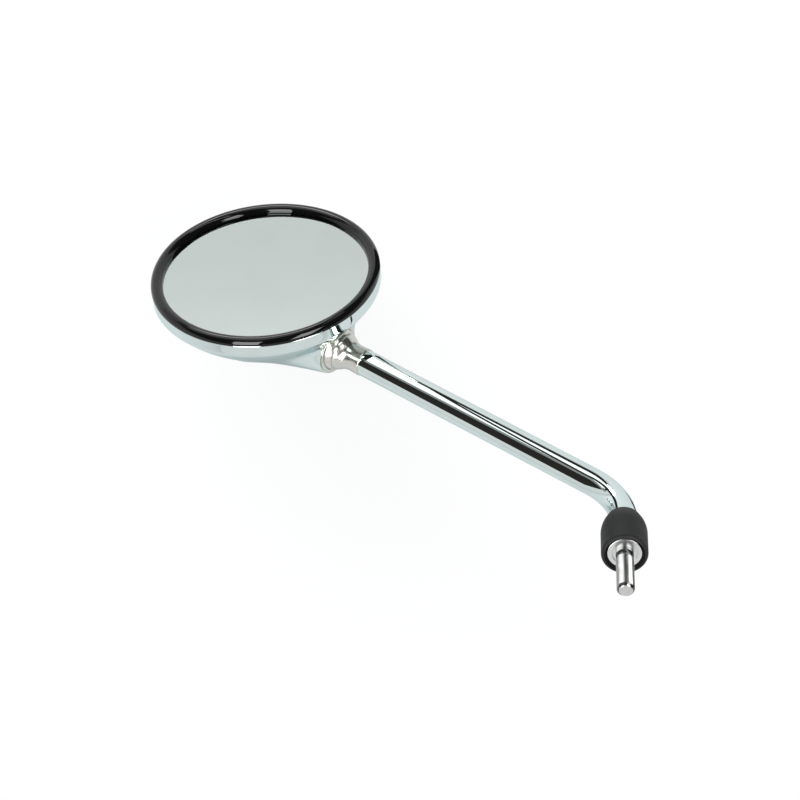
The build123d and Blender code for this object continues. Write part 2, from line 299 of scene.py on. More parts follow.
class Finish:
    def __init__(self, name, color, metallic, roughness, specular=0.5):
        self.material = bpy.data.materials.new(name)
        self.material.use_nodes = True
        self.tree = self.material.node_tree
        self.shader = self.tree.nodes["Principled BSDF"]
        self.shader.inputs["Base Color"].default_value = (*color, 1.0)
        self.shader.inputs["Metallic"].default_value = metallic
        self.shader.inputs["Roughness"].default_value = roughness
        self.shader.inputs["Specular IOR Level"].default_value = specular

    def effect(self, key, **values):
        node = self.tree.nodes.new("ShaderNodeGroup")
        node.node_tree = effects[key]
        for label, value in values.items():
            node.inputs[label].default_value = value
        return node.outputs

    def shade(self, mask, dark, light):  # base colour between two tones
        node = self.tree.nodes.new("ShaderNodeMix")
        node.data_type = "RGBA"
        self.tree.links.new(mask, node.inputs["Factor"])
        node.inputs["A"].default_value = (*dark, 1.0)
        node.inputs["B"].default_value = (*light, 1.0)
        self.tree.links.new(node.outputs["Result"], self.shader.inputs["Base Color"])

    def feed(self, label, socket):
        self.tree.links.new(socket, self.shader.inputs[label])

    def bump(self, height, strength, distance):
        node = self.tree.nodes.new("ShaderNodeBump")
        node.inputs["Strength"].default_value = strength
        node.inputs["Distance"].default_value = distance
        self.tree.links.new(height, node.inputs["Height"])
        self.feed("Normal", node.outputs["Normal"])


def plated(name, color, roughness, smear, hairlines, ripple):
    grazing = (0.8, 0.86, 0.87)  # reflections at the rim stay grey
    worn = [c * 0.955 for c in color]
    finish = Finish(name, color, metallic=1.0, roughness=roughness)
    finish.shader.inputs["Specular Tint"].default_value = (*grazing, 1.0)
    wear = finish.effect("plating", Smear=smear, Hairlines=hairlines)
    finish.shade(mapRange(finish.tree, wear["Tone"], 0.96, 1.0), worn, color)
    finish.feed("Roughness", math(finish.tree, "ADD", wear["Roughness"], roughness))
    finish.bump(wear["Height"], strength=ripple, distance=0.00002)
    return finish.material


def rubberFinish():
    finish = Finish("rubberMatte", (0.015, 0.016, 0.0155), metallic=0.0, roughness=0.62, specular=0.26)
    grain = finish.effect("grain", Scale=2600.0, Mottle=160.0)
    dust = finish.effect("dust", Amount=0.22)
    mask = math(finish.tree, "MULTIPLY_ADD", grain["Tone"], 0.25, dust["Mask"])
    finish.shade(mask, (0.007, 0.0074, 0.0071), (0.022, 0.0225, 0.0215))
    finish.feed("Roughness", math(finish.tree, "MULTIPLY_ADD", grain["Tone"], 0.12, 0.54))
    finish.bump(grain["Height"], strength=0.35, distance=0.00006)
    return finish.material


def bezelFinish():
    black, dusty = (0.004, 0.0041, 0.0043), (0.14, 0.14, 0.136)
    finish = Finish("bezelGloss", black, metallic=0.0, roughness=0.05, specular=0.33)
    dust = finish.effect("dust", Amount=0.06)
    wear = finish.effect("plating", Smear=0.05, Hairlines=0.4)
    finish.shade(dust["Mask"], black, dusty)
    finish.feed("Roughness", math(finish.tree, "ADD", wear["Roughness"], 0.04))
    finish.bump(wear["Height"], strength=0.06, distance=0.00002)
    return finish.material


def mirrorFinish():
    silver = (0.468, 0.52, 0.499)
    worn = [c * 0.985 for c in silver]
    finish = Finish("mirrorGlass", silver, metallic=1.0, roughness=0.012)
    wear = finish.effect("plating", Smear=0.012, Hairlines=0.12, Ripple=0.0)
    finish.shade(mapRange(finish.tree, wear["Tone"], 0.96, 1.0), worn, silver)
    finish.feed("Roughness", math(finish.tree, "ADD", wear["Roughness"], 0.008))
    finish.shader.inputs["Coat Weight"].default_value = 0.25
    finish.shader.inputs["Coat Roughness"].default_value = 0.01
    return finish.material


def steelFinish():
    finish = Finish("steelTurned", (0.6, 0.6, 0.58), metallic=1.0, roughness=0.26)
    rings = finish.effect("turned", Pitch=0.00016)
    finish.shade(rings["Tone"], (0.6, 0.61, 0.605), (0.74, 0.75, 0.745))
    finish.feed("Roughness", math(finish.tree, "MULTIPLY_ADD", rings["Tone"], -0.08, 0.3))
    finish.bump(rings["Height"], strength=0.22, distance=0.00004)
    return finish.material


def zincFinish():
    crest, shank, tip = (0.0034, 0.0039), (-0.0048, -0.0042), (-0.0261, -0.0258)  # metres on the stud
    # the dark tone is painted shade for the thread roots, the light one is the zinc itself
    grooveShade, bright = (0.05, 0.049, 0.047), (0.62, 0.625, 0.615)
    finish = Finish("zincBright", (0.7, 0.7, 0.68), metallic=1.0, roughness=0.24)
    rings = finish.effect("turned")
    grain = finish.effect("grain", Scale=1900.0, Mottle=420.0)
    # painted shade: darker towards the thread roots and darker still on the unthreaded top, while the end
    # face stays at the light tone
    threadShading = mapRange(finish.tree, rings["Radius"], *crest, 0.0, 0.5)
    topShading = mapRange(finish.tree, rings["Along"], *shank, 1.0, 0.3)
    onTip = mapRange(finish.tree, rings["Along"], *tip, 0.92, 0.0)
    paintedShading = math(finish.tree, "MAXIMUM", math(finish.tree, "MULTIPLY", threadShading, topShading), onTip)
    mask = math(finish.tree, "MULTIPLY_ADD", grain["Tone"], 0.1, paintedShading)
    finish.shade(mask, grooveShade, bright)
    finish.feed("Roughness", math(finish.tree, "MULTIPLY_ADD", mask, -0.1, 0.24))
    finish.bump(grain["Height"], strength=0.16, distance=0.00005)
    return finish.material


def mouldedFinish(name, dark, light, roughness):
    finish = Finish(name, dark, metallic=0.0, roughness=roughness)
    grain = finish.effect("grain", Scale=1800.0, Mottle=240.0)
    finish.shade(grain["Tone"], dark, light)
    finish.feed("Roughness", math(finish.tree, "MULTIPLY_ADD", grain["Tone"], 0.1, roughness))
    finish.bump(grain["Height"], strength=0.2, distance=0.00004)
    return finish.material


finishes = {
    "chrome": plated(
        "chromePlate", (0.585, 0.66, 0.645), roughness=0.022, smear=0.03, hairlines=0.3, ripple=0.05
    ),
    "nickel": plated(
        "nickelWarm", (0.57, 0.565, 0.52), roughness=0.23, smear=0.05, hairlines=0.5, ripple=0.015
    ),
    "innerSteel": plated(
        "springSteel", (0.5, 0.5, 0.49), roughness=0.22, smear=0.1, hairlines=0.8, ripple=0.1
    ),
    "rubber": rubberFinish(),
    "bezel": bezelFinish(),
    "mirror": mirrorFinish(),
    "steel": steelFinish(),
    "zinc": zincFinish(),
    "acetal": mouldedFinish("acetalCup", (0.7, 0.69, 0.64), (0.78, 0.77, 0.72), roughness=0.38),
    "gasket": mouldedFinish("gasketFoam", (0.025, 0.025, 0.026), (0.05, 0.05, 0.05), roughness=0.7),
}
print("finishes ready")


# Stem: a tube bent once in the x-z plane
stem = {
    "radius": 6.35, "bore": 5.15, "bend": 32.0, "start": 3.0, "ballGap": 19.881,
    "columns": 96, "lowRows": 14, "bendRows": 50, "runRows": 70,
}


def stemPiece(s):
    # X(s, t) = path(s) + r (normal cos t + binormal sin t)
    tangentLength = s["bend"] * tan(pose["lean"] / 2)
    low = np.linspace(s["start"], pose["corner"] - tangentLength, s["lowRows"])
    rise = np.stack([0 * low, 0 * low, low, 0 * low], -1)
    turn = np.linspace(0, pose["lean"], s["bendRows"])[1:-1]
    arcX = -s["bend"] * (1 - np.cos(turn))
    arcZ = pose["corner"] - tangentLength + s["bend"] * np.sin(turn)
    bend = np.stack([arcX, 0 * turn, arcZ, turn], -1)
    far = np.linspace(tangentLength, pose["toBall"] - s["ballGap"], s["runRows"])[:, None]
    run = np.array([0, 0, pose["corner"]]) + stemDir * far
    run = np.hstack([run, np.full_like(far, pose["lean"])])
    path = np.vstack([rise, bend, run])
    angle = path[:, 3]
    normal = np.stack([np.cos(angle), 0 * angle, np.sin(angle)], -1)
    t = np.arange(s["columns"]) * 2 * pi / s["columns"]
    around = normal[:, None] * np.cos(t)[:, None] + np.array([0.0, 1.0, 0.0]) * np.sin(t)[:, None]
    outer = path[:, None, :3] + s["radius"] * around
    inner = path[::-1, None, :3] + s["bore"] * around[::-1]
    return newPiece("stemTubeSkin", np.vstack([outer, inner]), loop=True)


dress(stemPiece(stem), "stem_tube", finishes["chrome"])

# Foot: seat plug, stud and boot, all turned about z
plug = {
    "outline": [
        (0, 12), (3.65, 12), (3.65, 0.4), (5.5, 0.4), (5.5, 0),
        (7.65, 0), (7.65, 3), (5.1, 3), (5.1, 19), (0, 19),
    ],
    "rounds": [0, 0, 0, 0.08, 0.12, 0.3, 0.1, 0, 0.4, 0],
    "columns": 128,
}
plugProfile = rounded(plug["outline"], plug["rounds"])
plugPiece = lathe("seatPlug", plugProfile, footPlace, plug["columns"])
dress(plugPiece, "base_plug", finishes["steel"])

boot = {
    "outline": [
        (8.6, -1.2), (10.3, -1.2), (10.3, 17.7), (7.7, 24.2),
        (6.45, 24.2), (6.45, 3.1), (7.75, 3.1), (7.75, 0.8),
    ],
    "rounds": [0.3, 1.6, 20, 0.55, 0.3, 0, 0, 0.2],
    "steps": 12,
}
bootProfile = rounded(boot["outline"], boot["rounds"], boot["steps"], close=True)
bootPiece = lathe("bootSkin", bootProfile, footPlace, loop=True)
dress(bootPiece, "rubber_boot", finishes["rubber"])

stud = {
    "outline": [
        (3.6, 12), (3.6, 0.4), (4, 0.4), (4, -1.6), (3.3, -2.3),
        (3.3, -3.9), (4, -4.6), (4, -25), (2.8, -26.2), (0, -26.2),
    ],
    "rounds": [0, 0, 0.1, 0.15, 0.3, 0.3, 0.15, 0.2, 0.25, 0],
    "major": 3.93, "depth": 0.66, "pitch": 1.25, "crest": 0.76, "flank": 0.6, "soft": 0.35,
    "top": -4.3, "fade": 1.0, "fineFrom": -4.4, "fineTo": -25.5, "columns": 96, "rowsPerPitch": 18,
}


def studPiece(s):
    # r(t, z) = min(body(z), major - depth (1 - crest(z / pitch + t / 2 pi)))
    body = rounded(s["outline"], s["rounds"])[:-1]
    upper, lower = body[body[:, 1] > s["fineFrom"]], body[body[:, 1] <= s["fineTo"]]
    count = int((s["fineFrom"] - s["fineTo"]) / s["pitch"] * s["rowsPerPitch"])
    z = np.linspace(s["fineFrom"], s["fineTo"], count)
    middle = np.stack([np.interp(-z, -body[:, 1], body[:, 0]), z], -1)
    profile = np.vstack([upper, middle, lower])
    r, z = profile[:, 0:1], profile[:, 1:2]
    t = np.arange(s["columns"]) * 2 * pi / s["columns"]
    phase = np.abs(2 * ((z / s["pitch"] + t / (2 * pi)) % 1.0) - 1)
    crest = np.clip((s["crest"] - phase) / s["flank"], 0, 1)
    crest = (1 - s["soft"]) * crest + s["soft"] * ease(crest)
    fade = np.clip((s["top"] - z) / s["fade"], 0, 1)
    radius = np.minimum(r, s["major"] - s["depth"] * (1 - crest) * fade)
    grid = np.stack([radius * np.cos(t), radius * np.sin(t), z + 0 * t], -1)
    poles = [np.array([0.0, 0.0, s["outline"][k][1]]) for k in (0, -1)]
    return newPiece("studThreaded", grid, *poles, sharp=60)


dress(studPiece(stud), "mounting_stud", finishes["zinc"])
print("stem and foot ready")

# Ball joint, turned about the stem's axis with heights measured down the stem
neck = {
    "shoulder": (9.2, 6.541), "waist": (7.5, 10.141), "throat": (6.75, 19.381), "samples": 30,
    "journal": [
        (0, 3.844), (2.55, 3.844), (2.55, -6.156), (4.5, -6.156),
        (4.5, 6.541), (9.05, 6.541), (9.17, 6.59),
    ],
    "spigot": [(6.62, 19.74), (6.25, 19.881), (5.1, 19.881), (5.1, 37.881), (0, 37.881)],
}


def bellCurve(n):
    # two cubic spans through shoulder, waist and throat, upright at both ends
    p = np.array([n["shoulder"], n["waist"], n["throat"]])
    h = np.linalg.norm(np.diff(p, axis=0), axis=1)
    slope = np.diff(p, axis=0) / h[:, None]
    m = np.array([[0.0, 1.0], [0.0, 0.0], [0.0, 1.0]])
    m[1] = (3 * (h[1] * slope[0] + h[0] * slope[1]) - h[1] * m[0] - h[0] * m[2]) / (2 * (h[0] + h[1]))
    s = np.linspace(0, 1, n["samples"])[:, None]
    basis = (2 * s**3 - 3 * s**2 + 1, s**3 - 2 * s**2 + s, 3 * s**2 - 2 * s**3, s**3 - s**2)
    spans = [
        basis[0] * p[k] + basis[1] * h[k] * m[k] + basis[2] * p[k + 1] + basis[3] * h[k] * m[k + 1]
        for k in (0, 1)
    ]
    return np.vstack([spans[0][:-1], spans[1]])


neckProfile = np.vstack([neck["journal"], bellCurve(neck)[2:], neck["spigot"]])
dress(lathe("bellNeck", neckProfile, jointPlace), "ball_neck", finishes["nickel"])

gland = {
    "seat": 11.35, "front": radians(71), "bottom": -2.4, "body": 11.9, "flange": 12.45, "low": 2.895,
    "lipIn": 10.79, "rounds": [0, 0.28, 0.06, 0], "overlap": 0.015, "samples": 24,
}
glandRear = acos(gland["bottom"] / gland["seat"])
seatAngles = np.linspace(glandRear, gland["front"] + gland["overlap"], gland["samples"])
seatArc = gland["seat"] * np.stack([np.sin(seatAngles), np.cos(seatAngles)], -1)
glandTop = gland["seat"] * cos(gland["front"])
flangeOutline = [
    (gland["lipIn"], glandTop), (gland["flange"], glandTop),
    (gland["flange"], gland["low"]), (gland["body"], gland["low"]),
]
glandEdge = rounded(flangeOutline, gland["rounds"])
glandProfile = np.vstack([seatArc, glandEdge, [(gland["body"], gland["bottom"])]])
glandPiece = lathe("glandRing", glandProfile, jointPlace, loop=True)
dress(glandPiece, "gland_ring", finishes["nickel"])
print("ball joint ready")

# Glass and bezel, turned about the glass's axis
glass = {
    "radius": 51.4, "curve": 1200.0, "drop": 0.6, "thickness": 2.5, "edge": 0.3,
    "rings": 30, "columns": 192,
}


def glassHeight(r):
    # z(r) = sqrt(R^2 - r^2) - sqrt(R^2 - radius^2) - drop, the cap of a large sphere
    rim = sqrt(glass["curve"] ** 2 - glass["radius"] ** 2)
    return np.sqrt(glass["curve"] ** 2 - r**2) - rim - glass["drop"]


glassRadii = np.linspace(0, glass["radius"] - glass["edge"], glass["rings"])
glassFace = np.stack([glassRadii, glassHeight(glassRadii)], -1)
glassEdge = [
    (glass["radius"], -glass["drop"] - glass["edge"]),
    (glass["radius"], -glass["drop"] - glass["thickness"]),
]
glassBack = glassFace[::-3] - np.array([0, glass["thickness"]])  # every third ring
glassPole = [(0, glassHeight(0) - glass["thickness"])]
glassProfile = np.vstack([glassFace, glassEdge, glassBack[:-1], glassPole])
glassPiece = lathe("mirrorGlass", glassProfile, headPlace, glass["columns"])
dress(glassPiece, "mirror_glass", finishes["mirror"])

bezel = {
    "outer": 54.97, "bead": 2.9, "skirtIn": 51.5, "skirt": 52.7, "low": -4.5, "seat": -0.3, "gap": 0.05,
    "chamfer": 0.12, "samples": 34, "columns": 288,
}
beadAngles = np.linspace(0, pi, bezel["samples"])
beadArc = bezel["bead"] * np.stack([np.cos(beadAngles), np.sin(beadAngles)], -1)
beadArc = beadArc + np.array([bezel["outer"] - bezel["bead"], 0])
bezelIn = bezel["outer"] - 2 * bezel["bead"]
under = float(glassHeight(bezelIn)) + bezel["gap"]
bezelFoot = [
    (bezelIn, under), (bezel["skirtIn"], under), (bezel["skirtIn"], bezel["low"]),
    (bezel["skirt"], bezel["low"]), (bezel["skirt"], bezel["seat"]),
    (bezel["outer"] - bezel["chamfer"], bezel["seat"]),
    (bezel["outer"], bezel["seat"] + bezel["chamfer"]),
]
bezelProfile = np.vstack([beadArc, bezelFoot])
bezelPiece = lathe("bezelRing", bezelProfile, headPlace, bezel["columns"], loop=True)
dress(bezelPiece, "bezel", finishes["bezel"])
print("glass and bezel ready")

# Shell: one skin from the mouth of the spout over the dome to the lip, closed inside
shell = {
    "eye": np.array([0.0, 0.0, -6.0]), "mouth": 13.1, "mouthAt": 2.895, "rootWide": 41.6, "rootLong": 36.55,
    "tilt": radians(33), "rootDepth": 16.9, "rootShift": 7.1, "relief": tan(radians(15)), "reliefFrom": 0.4,
    "reliefRound": 0.9, "edgeAt": -7.5, "lipRound": 2.5, "blend": 4.4, "fuller": 4.5, "fullerOver": 0.45,
    "inset": 0.02, "sinkFrom": 0.92, "reach": 1.22, "backRound": 1.2,
    "growth": 1.1, "columns": 420, "rows": 150, "rimSamples": 2001, "domeRows": 6, "roundRows": 9,
    "bore": [(10.62, -13.35), (10.62, -6.8), (11.95, -6.8), (11.95, 2.895), (12.2, 2.895), (12.9, 2.895)],
    "lip": [
        (54.97, -3.6), (54.97, -0.75), (54.97, -0.6), (54.93, -0.4),
        (54.8, -0.3), (54.6, -0.3), (52.8, -0.3),
    ],
    "hidden": [(52.8, -4.6), (49.2, -4.6), (48.6, -9.0), (30, -9.2), (12, -9.3)],
}
tiny, far, halvings = 1e-9, 1e9, 46  # limits of the searches below
rootAlong = np.array([cos(shell["tilt"]), 0, sin(shell["tilt"])])
rootDown = np.array([sin(shell["tilt"]), 0, -cos(shell["tilt"])])
rootCenter = domeCenter + rootDown * (domeCurve - shell["rootDepth"]) - rootAlong * shell["rootShift"]
mouthCenter = ballInHead + axisInHead * shell["mouthAt"]
mouthUp = np.array([sin(pose["rake"]), 0, cos(pose["rake"])])
across = np.array([0.0, 1.0, 0.0])


def softMax(a, b, k):  # the larger of the two, rounded where they are closer than k
    gap = np.clip(k - np.abs(a - b), 0, None) / k
    return np.maximum(a, b) + gap**3 * k / 6


def domeReach(d):  # from the eye point to the sphere of the dome
    toEye = shell["eye"] - domeCenter
    b = d @ toEye
    return -b + np.sqrt(np.maximum(b**2 - toEye @ toEye + domeCurve**2, 0))


def spoutReach(d):
    # exit from the ruled spout X(t, f) = c(t) + a(t) cos f + b(t) sin f, found by halving t
    def section(t):
        t = t[..., None]
        center = (1 - t) * mouthCenter + t * rootCenter
        wide = (1 - t[..., 0]) * shell["mouth"] + t[..., 0] * shell["rootWide"]
        tall = (1 - t) * shell["mouth"] * mouthUp + t * shell["rootLong"] * rootAlong
        flat = np.cross(across, tall)
        along = np.sum(d * flat, -1)
        along = np.where(np.abs(along) < tiny, tiny, along)
        reach = np.sum((center - shell["eye"]) * flat, -1) / along
        spot = shell["eye"] + reach[..., None] * d - center
        p = spot[..., 1] / wide
        q = np.sum(spot * tall, -1) / np.sum(tall * tall, -1)
        return reach, p**2 + q**2 - 1

    low, high = np.zeros(d.shape[:-1]), np.full(d.shape[:-1], shell["reach"])
    endReach, endSide = section(high)
    for _ in range(halvings):
        half = (low + high) / 2
        outside = section(half)[1] > 0
        low = np.where(outside, half, low)
        high = np.where(outside, high, half)
    sink = np.clip((high - shell["sinkFrom"]) / (shell["reach"] - shell["sinkFrom"]), 0, 1)
    reach = section(high)[0] - 2 * shell["blend"] * ease(sink)  # it sinks into the dome at its root
    return np.where((endSide < 0) & (endReach > 0) & (reach > 0), reach, 0.0)


def reliefReach(d):
    # entry into the cone of room round the neck
    start = shell["eye"] - ballInHead
    du, u0 = d @ axisInHead, start @ axisInHead
    w0 = start - u0 * axisInHead
    dw = d - du[..., None] * axisInHead
    m = shell["mouth"] + (u0 - shell["mouthAt"]) * shell["relief"]
    n = du * shell["relief"]
    a = np.sum(dw * dw, -1) - n**2
    b = dw @ w0 - m * n
    c = w0 @ w0 - m**2
    root = np.sqrt(np.maximum(b**2 - a * c, 0))
    level = np.abs(a) < tiny
    best = np.full(d.shape[:-1], far)
    for sign in (-1, 1):
        r = np.where(level, far, (-b + sign * root) / np.where(level, 1, a))
        good = (b**2 > a * c) & (r > 0) & (u0 + r * du > shell["mouthAt"] - shell["reliefFrom"])
        best = np.where(good, np.minimum(best, r), best)
    return best


backDir = np.array([headPlace.x[1], headPlace.y[1], headPlace.z[1]])  # the part's y in the head's frame
eyeBack = headPlace.out(shell["eye"])[1]


def skinReach(d):
    # dome and spout blended, held inside the solid's depth and cut by the room round the neck
    beside = np.clip(d[..., 1] / shell["fullerOver"], 0, 1)
    outer = softMax(domeReach(d), spoutReach(d), shell["blend"] + shell["fuller"] * ease(beside))
    backward = np.maximum(d @ backDir, 0.2)  # level and forward directions are left free
    outer = -softMax(-outer, -(cadHigh[1] / mm - eyeBack) / backward, shell["backRound"])
    return -softMax(-outer, -reliefReach(d), shell["reliefRound"])


def shellPiece(s):
    # directions from the eye point on a stereographic plane, ringed between mouth and lip
    # by w = (t + a) / (1 + a t), each carried out to the skin
    edgeRadius = sqrt(domeCurve**2 - (s["edgeAt"] - domeCenter[2]) ** 2)
    edgeAngle = pi / 2 + atan2(s["edgeAt"] - s["eye"][2], edgeRadius)
    scale = tan(edgeAngle / 2)

    def toPlane(p):
        v = p - s["eye"]
        v = v / np.linalg.norm(v, axis=-1, keepdims=True)
        return (v[..., 0] + 1j * v[..., 1]) / (1 - v[..., 2]) / scale

    f = np.linspace(-pi, pi, s["rimSamples"])[:-1]
    rim = mouthCenter + s["mouth"] * (np.cos(f)[:, None] * across + np.sin(f)[:, None] * mouthUp)
    plane = toPlane(rim)
    turn = np.exp(-1j * np.angle(plane.mean()))  # the mouth sits a little beside the x axis
    x1, x2 = np.min(np.real(plane * turn)), np.max(np.real(plane * turn))
    q = (1 + x1 * x2) / (x1 + x2)
    a = q - sqrt(q**2 - 1)
    inner = (plane * turn - a) / (1 - a * plane * turn)
    order = np.argsort(np.angle(inner))
    innerAngle, innerRadius, innerTurn = np.angle(inner)[order], np.abs(inner)[order], f[order]
    h = (1 - sqrt(1 - a**2)) / a
    eta = np.exp(1j * np.linspace(-pi, pi, s["columns"], endpoint=False))
    theta = np.angle((eta - h) / (1 - h * eta))
    mouthRing = np.interp(theta, innerAngle, innerRadius, period=2 * pi)
    steps = np.linspace(0, 1, s["rows"])
    grow = (np.exp(s["growth"] * steps) - 1) / (np.exp(s["growth"]) - 1)
    rho = mouthRing + (1 - mouthRing) * grow[:, None]
    t = rho * np.exp(1j * theta)
    w = (t + a) / (1 + a * t) / turn * scale
    size = np.abs(w)
    d = np.stack([2 * np.real(w), 2 * np.imag(w), size**2 - 1], -1) / (1 + size**2)[..., None]
    skin = s["eye"] + (skinReach(d)[..., None] - s["inset"]) * d
    turnCos = np.interp(theta, innerAngle, np.cos(innerTurn), period=2 * pi)
    turnSin = np.interp(theta, innerAngle, np.sin(innerTurn), period=2 * pi)
    mouthTurn = np.angle(turnCos + 1j * turnSin)

    def mouthRow(r, u):
        side = np.cos(mouthTurn)[:, None] * across + np.sin(mouthTurn)[:, None] * mouthUp
        return ballInHead + u * axisInHead + r * side

    skin[0] = mouthRow(s["mouth"], s["mouthAt"])
    inside = np.stack([mouthRow(r, u) for r, u in s["bore"]])
    psi = np.angle(w[-1])
    rounds = s["lipRound"]
    roundZ = domeCenter[2] - sqrt((domeCurve - rounds) ** 2 - (head["radius"] - rounds) ** 2)
    startAngle = atan2(head["radius"] - rounds, domeCenter[2] - roundZ)
    arc = np.linspace(startAngle, pi / 2, s["roundRows"])
    roundArc = np.stack([head["radius"] - rounds + rounds * np.sin(arc), roundZ - rounds * np.cos(arc)], -1)
    edgeTurn = atan2(edgeRadius, domeCenter[2] - s["edgeAt"])
    domeTurn = np.linspace(edgeTurn, startAngle, s["domeRows"])[1:-1]
    domeArc = np.stack([domeCurve * np.sin(domeTurn), domeCenter[2] - domeCurve * np.cos(domeTurn)], -1)
    ringProfile = np.vstack([domeArc, roundArc, s["lip"], s["hidden"]])
    r, z = ringProfile[:, 0:1], ringProfile[:, 1:2]
    ringRows = np.stack([r * np.cos(psi), r * np.sin(psi), z + 0 * psi], -1)
    grid = np.vstack([inside, skin, ringRows])
    boreEnd = headPlace.out(ballInHead + axisInHead * s["bore"][0][1])
    behindGlass = headPlace.out(np.array([0, 0, s["hidden"][-1][1]]))
    return newPiece("shellSkin", headPlace.out(grid), boreEnd, behindGlass, sharp=42)


dress(shellPiece(shell), "shell", finishes["chrome"])
print("shell ready")

# Inner pieces keep their solids
inner = {"ball_screw": "innerSteel", "swivel_ball": "nickel", "pressure_cup": "acetal"}
inner |= {"thrust_washer": "innerSteel", "disc_spring": "innerSteel", "glass_gasket": "gasket"}
for node, finish in inner.items():
    mesh = frame["nodes"][node].data
    mesh.materials.clear()
    mesh.materials.append(finishes[finish])
print("inner pieces ready")

# Camera
view = {
    "eye": (-134.18, -646.78, -886.81), "right": (0.99003, -0.12991, 0.05446),
    "down": (0.1384, 0.82508, -0.5478), "forward": (0.02623, 0.54988, 0.83483),
    "lens": 114.504, "distance": 1099.5, "farEnd": 20,
}
right, up, back = unit(view["right"]), -unit(view["down"]), -unit(view["forward"])
eyePoint = np.array(view["eye"])


def placed(x, y, z, at):  # the matrix of three directions and a place in millimetres
    return Matrix(np.vstack([np.column_stack([x, y, z, at * mm]), [0, 0, 0, 1]]).tolist())


camera = bpy.data.objects.new("camera", bpy.data.cameras.new("camera"))
camera.data.lens = view["lens"]
camera.data.clip_end = view["farEnd"]
camera.matrix_world = placed(right, up, back, eyePoint)
bpy.context.scene.collection.objects.link(camera)
bpy.context.scene.camera = camera


# Stage: a pale table behind the part, soft lamps, and panels that only reflections see
def facingMatrix(at, toward, sideways):
    z = unit(toward - at)
    x = unit(sideways - z * np.dot(sideways, z))
    return placed(x, np.cross(z, x), z, at)


def panel(name, at, toward, sideways, size, material):
    x, y = np.array(size) * mm / 2
    mesh = bpy.data.meshes.new(name)
    corners = [(-x, -y, 0), (x, -y, 0), (x, y, 0), (-x, y, 0)]
    mesh.from_pydata(corners, [], [(0, 1, 2, 3)])
    mesh.materials.append(material)
    card = bpy.data.objects.new(name, mesh)
    card.matrix_world = facingMatrix(at, toward, sideways)
    bpy.context.scene.collection.objects.link(card)
    return card


def glowFinish(name, color, strength):
    material = bpy.data.materials.new(name)
    material.use_nodes = True
    tree = material.node_tree
    tree.nodes.clear()
    glow = tree.nodes.new("ShaderNodeEmission")
    glow.inputs["Color"].default_value = (*color, 1.0)
    glow.inputs["Strength"].default_value = strength
    tree.links.new(glow.outputs[0], tree.nodes.new("ShaderNodeOutputMaterial").inputs["Surface"])
    return material


def inView(side, rise, depth):  # a place by its distance beside, above and beyond the camera's axis
    return eyePoint + right * side + up * rise - back * (view["distance"] + depth)


middle = np.array([-95.0, -10.0, 95.0])  # of the part
table = {
    "at": middle - back * 110, "size": 9000, "paint": 0.98, "seenGlow": 0.84, "mirroredGlow": 0.3,
    "shadeAt": inView(-62, 8, 181), "shadeRadius": 65, "shadeTone": (0.465, 0.5, 0.5),
}


def tableFinish(t):
    # pale paint with a glow for the camera and reflections, a soft shade behind the head, clear from behind
    material = bpy.data.materials.new("tablePale")
    material.use_nodes = True
    tree = material.node_tree
    tree.nodes.clear()
    paint = tree.nodes.new("ShaderNodeBsdfDiffuse")
    paint.inputs["Color"].default_value = (t["paint"], t["paint"], t["paint"], 1.0)
    glow = tree.nodes.new("ShaderNodeEmission")
    path = tree.nodes.new("ShaderNodeLightPath")
    mirrored = math(tree, "MAXIMUM", path.outputs["Is Glossy Ray"], path.outputs["Is Transmission Ray"])
    seen = math(tree, "MULTIPLY", path.outputs["Is Camera Ray"], t["seenGlow"])
    share = tree.nodes.new("ShaderNodeMixShader")
    tree.links.new(math(tree, "MULTIPLY_ADD", mirrored, t["mirroredGlow"], seen), share.inputs["Fac"])
    tree.links.new(paint.outputs[0], share.inputs[1])
    tree.links.new(glow.outputs[0], share.inputs[2])
    reach = t["shadeRadius"] * mm
    offset = (t["at"] - t["shadeAt"]) * mm / reach
    spot = tree.nodes.new("ShaderNodeVectorMath")
    spot.operation = "MULTIPLY_ADD"
    spot.inputs[1].default_value = (1 / reach, 1 / reach, 0.0)
    spot.inputs[2].default_value = (offset @ right, offset @ up, 0.0)
    tree.links.new(tree.nodes.new("ShaderNodeTexCoord").outputs["Object"], spot.inputs[0])
    fade = tree.nodes.new("ShaderNodeTexGradient")
    fade.gradient_type = "SPHERICAL"
    tree.links.new(spot.outputs["Vector"], fade.inputs["Vector"])
    under = tree.nodes.new("ShaderNodeEmission")
    under.inputs["Color"].default_value = (*t["shadeTone"], 1.0)
    dim = tree.nodes.new("ShaderNodeMixShader")
    inMirror = math(tree, "MULTIPLY", fade.outputs["Fac"], path.outputs["Is Glossy Ray"])
    tree.links.new(inMirror, dim.inputs["Fac"])
    tree.links.new(share.outputs[0], dim.inputs[1])
    tree.links.new(under.outputs[0], dim.inputs[2])
    clear = tree.nodes.new("ShaderNodeBsdfTransparent")
    side = tree.nodes.new("ShaderNodeMixShader")
    tree.links.new(tree.nodes.new("ShaderNodeNewGeometry").outputs["Backfacing"], side.inputs["Fac"])
    tree.links.new(dim.outputs[0], side.inputs[1])
    tree.links.new(clear.outputs[0], side.inputs[2])
    tree.links.new(side.outputs[0], tree.nodes.new("ShaderNodeOutputMaterial").inputs["Surface"])
    return material


panel("table", table["at"], table["at"] + back, right, (table["size"], table["size"]), tableFinish(table))


def offPoint(base, side, rise, near):  # a place off a point of the part, in the camera's directions
    return base + right * side + up * rise + back * near


def toward(side, rise, near, distance):  # the same from the part's middle, by direction and distance
    return middle + unit(right * side + up * rise + back * near) * distance


def reflected(card):
    card.visible_camera = False
    card.visible_diffuse = False
    card.visible_shadow = False
    card.visible_transmission = False
    card.visible_volume_scatter = False


